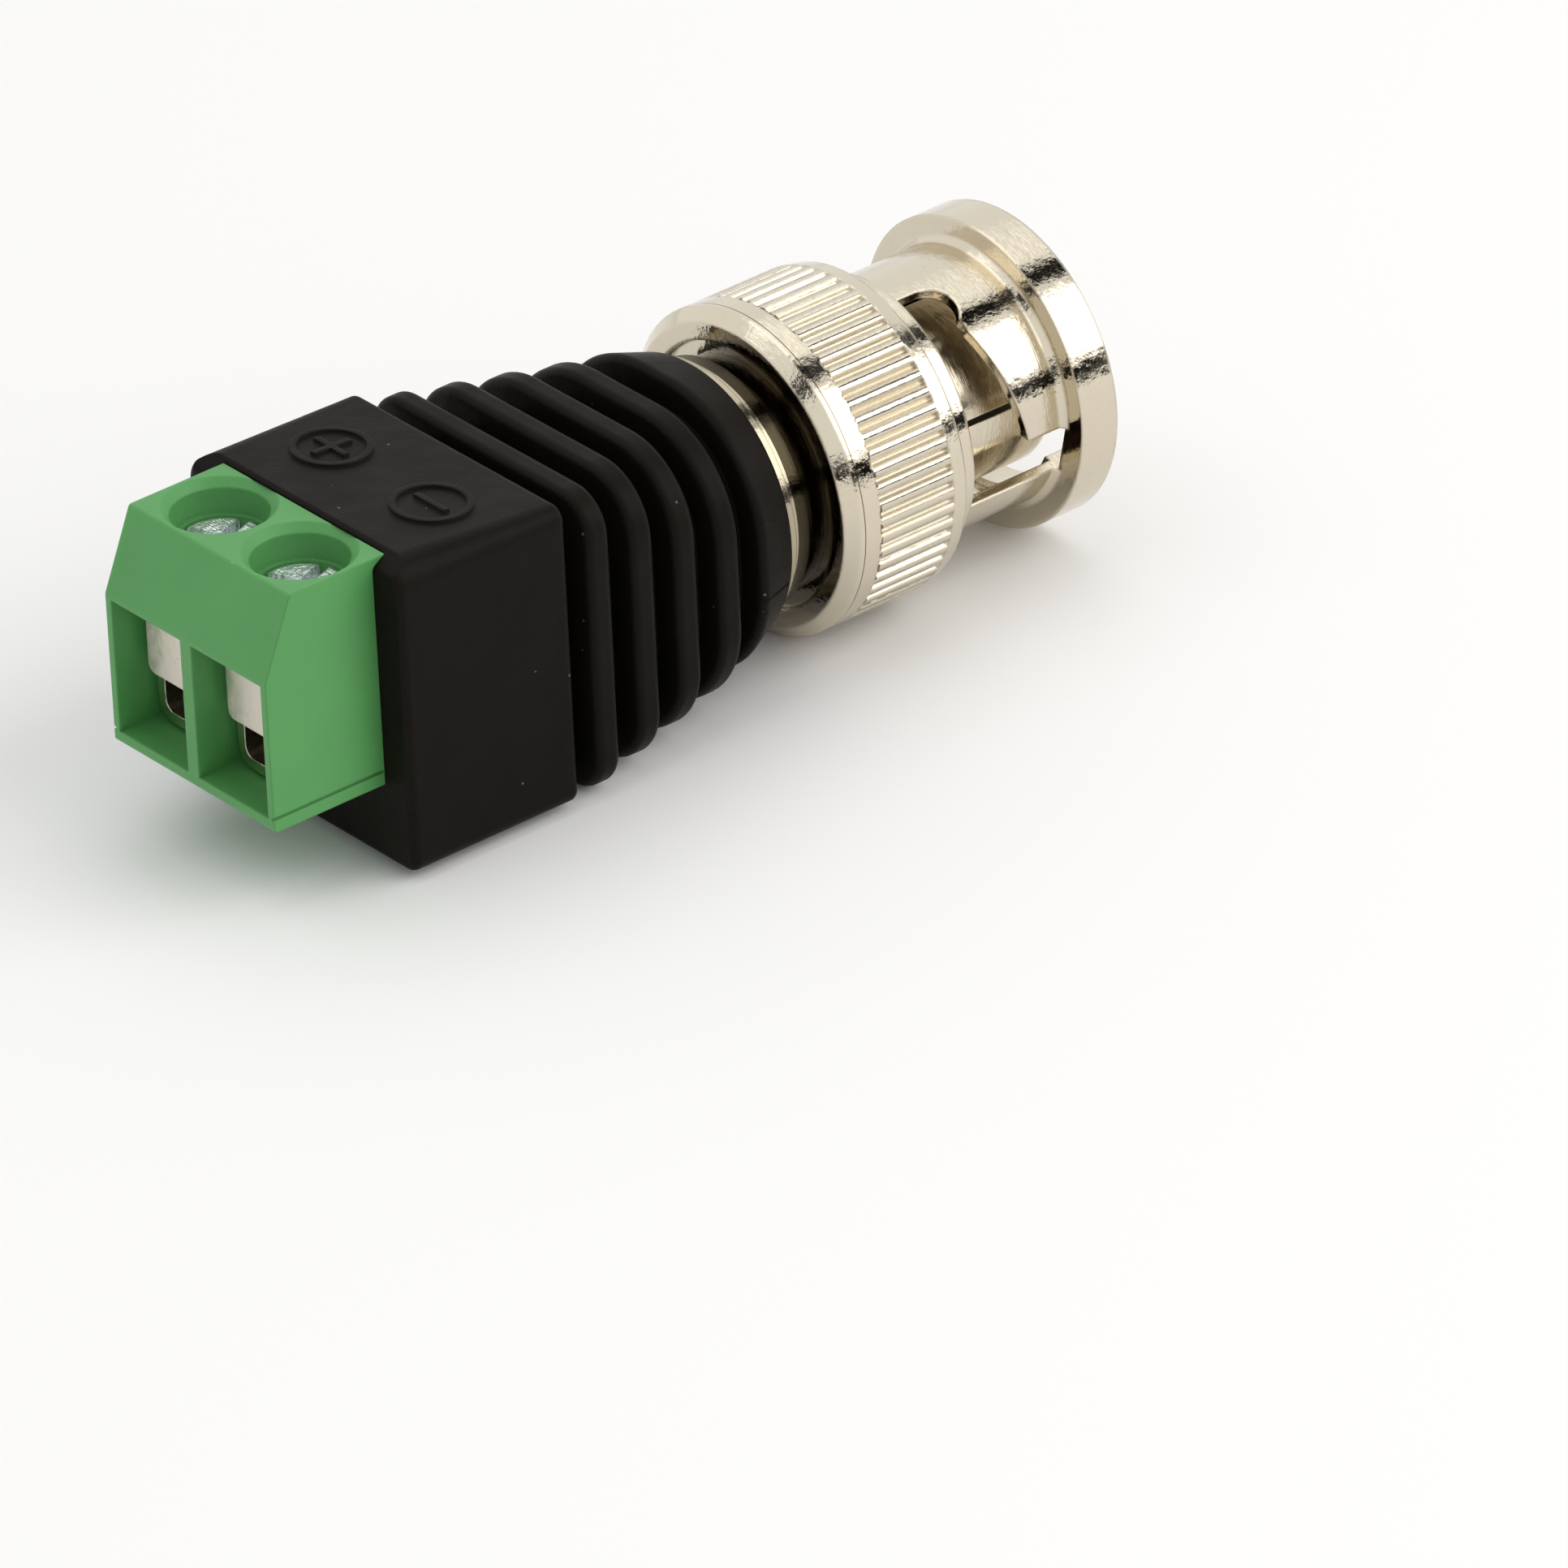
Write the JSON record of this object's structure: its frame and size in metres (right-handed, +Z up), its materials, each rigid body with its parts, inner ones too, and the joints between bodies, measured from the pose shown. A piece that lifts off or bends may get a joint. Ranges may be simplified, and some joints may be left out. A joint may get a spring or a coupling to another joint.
{
  "type": "bnc screw terminal adapter",
  "caption": "Straight bayonet coaxial plug with a sprung knurled coupling nut, moulded into a ribbed boot that holds a two-pole screw terminal block.",
  "frame": {"origin": "on the plug's axis, in the plane of the dielectric's front face, where the centre pin comes out", "axes": "+X along the plug's axis to its mouth, +Z up out of the screw wells, +Y to the plus pole"},
  "size_m": [0.0425, 0.0142, 0.0143],
  "materials": {
    "boot_pvc": "moulded black PVC, satin",
    "inner_mould": "natural polyethylene first moulding",
    "block_green": "moulded green polyamide, satin",
    "screw_zinc": "zinc plated steel",
    "cage_nickel": "nickel plated brass",
    "strip_tin": "tin plated brass",
    "wire_tinned": "tinned copper",
    "jacket_red": "red PVC insulation",
    "jacket_black": "black PVC insulation",
    "body_nickel": "nickel plated brass, bright",
    "contact_nickel": "nickel plated spring brass, bright",
    "insulator": "bluish grey insulator",
    "pin_gold": "gold plated",
    "silicone_red": "dark red silicone",
    "spring_bronze": "spring bronze",
    "nut_nickel": "nickel plated brass, bright"
  },
  "bodies": {
    "adapter": {"boot": "boot_pvc", "inner_mould": "inner_mould", "terminal_block": "block_green", "contact_strip_plus": "strip_tin", "contact_strip_minus": "strip_tin", "lead_wire_plus": "wire_tinned", "lead_wire_minus": "wire_tinned", "lead_jacket_plus": "jacket_red", "lead_jacket_minus": "jacket_black", "plug_body": "body_nickel", "outer_contact": "contact_nickel", "dielectric": "insulator", "centre_pin": "pin_gold", "solder_lug": "strip_tin", "gasket": "silicone_red", "retaining_ring": "spring_bronze"},
    "spring_pack": {"thrust_washer": "spring_bronze", "wave_spring": "spring_bronze"},
    "nut": {"coupling_nut": "nut_nickel"},
    "screw_plus": {"clamp_screw_plus": "screw_zinc"},
    "screw_minus": {"clamp_screw_minus": "screw_zinc"},
    "cage_plus": {"clamp_cage_plus": "cage_nickel"},
    "cage_minus": {"clamp_cage_minus": "cage_nickel"}
  },
  "joints": [
    {"name": "coupling_spin", "type": "hinge", "parent": "adapter", "child": "spring_pack", "pos_m": [0, 0, 0], "axis": [1, 0, 0], "continuous": true},
    {"name": "coupling_slide", "type": "slide", "parent": "spring_pack", "child": "nut", "axis": [1, 0, 0], "range_m": [0, 0.0006], "stiffness_N_per_m": 2000, "springref_m": -0.0002, "deforming": ["wave_spring"]},
    {"name": "cage_plus_rise", "type": "slide", "parent": "adapter", "child": "cage_plus", "axis": [0, 0, 1], "range_m": [0, 0.00165]},
    {"name": "cage_minus_rise", "type": "slide", "parent": "adapter", "child": "cage_minus", "axis": [0, 0, 1], "range_m": [0, 0.00165]},
    {"name": "screw_plus_turn", "type": "hinge", "parent": "adapter", "child": "screw_plus", "pos_m": [-0.03657, 0.00254, 0], "axis": [0, 0, -1], "range_deg": [0, 1190]},
    {"name": "screw_minus_turn", "type": "hinge", "parent": "adapter", "child": "screw_minus", "pos_m": [-0.03657, -0.00254, 0], "axis": [0, 0, -1], "range_deg": [0, 1190]}
  ],
  "couplings": [
    {"joint": "screw_plus_turn", "follows": "cage_plus_rise", "rad_per_m": 12566},
    {"joint": "screw_minus_turn", "follows": "cage_minus_rise", "rad_per_m": 12566}
  ]
}
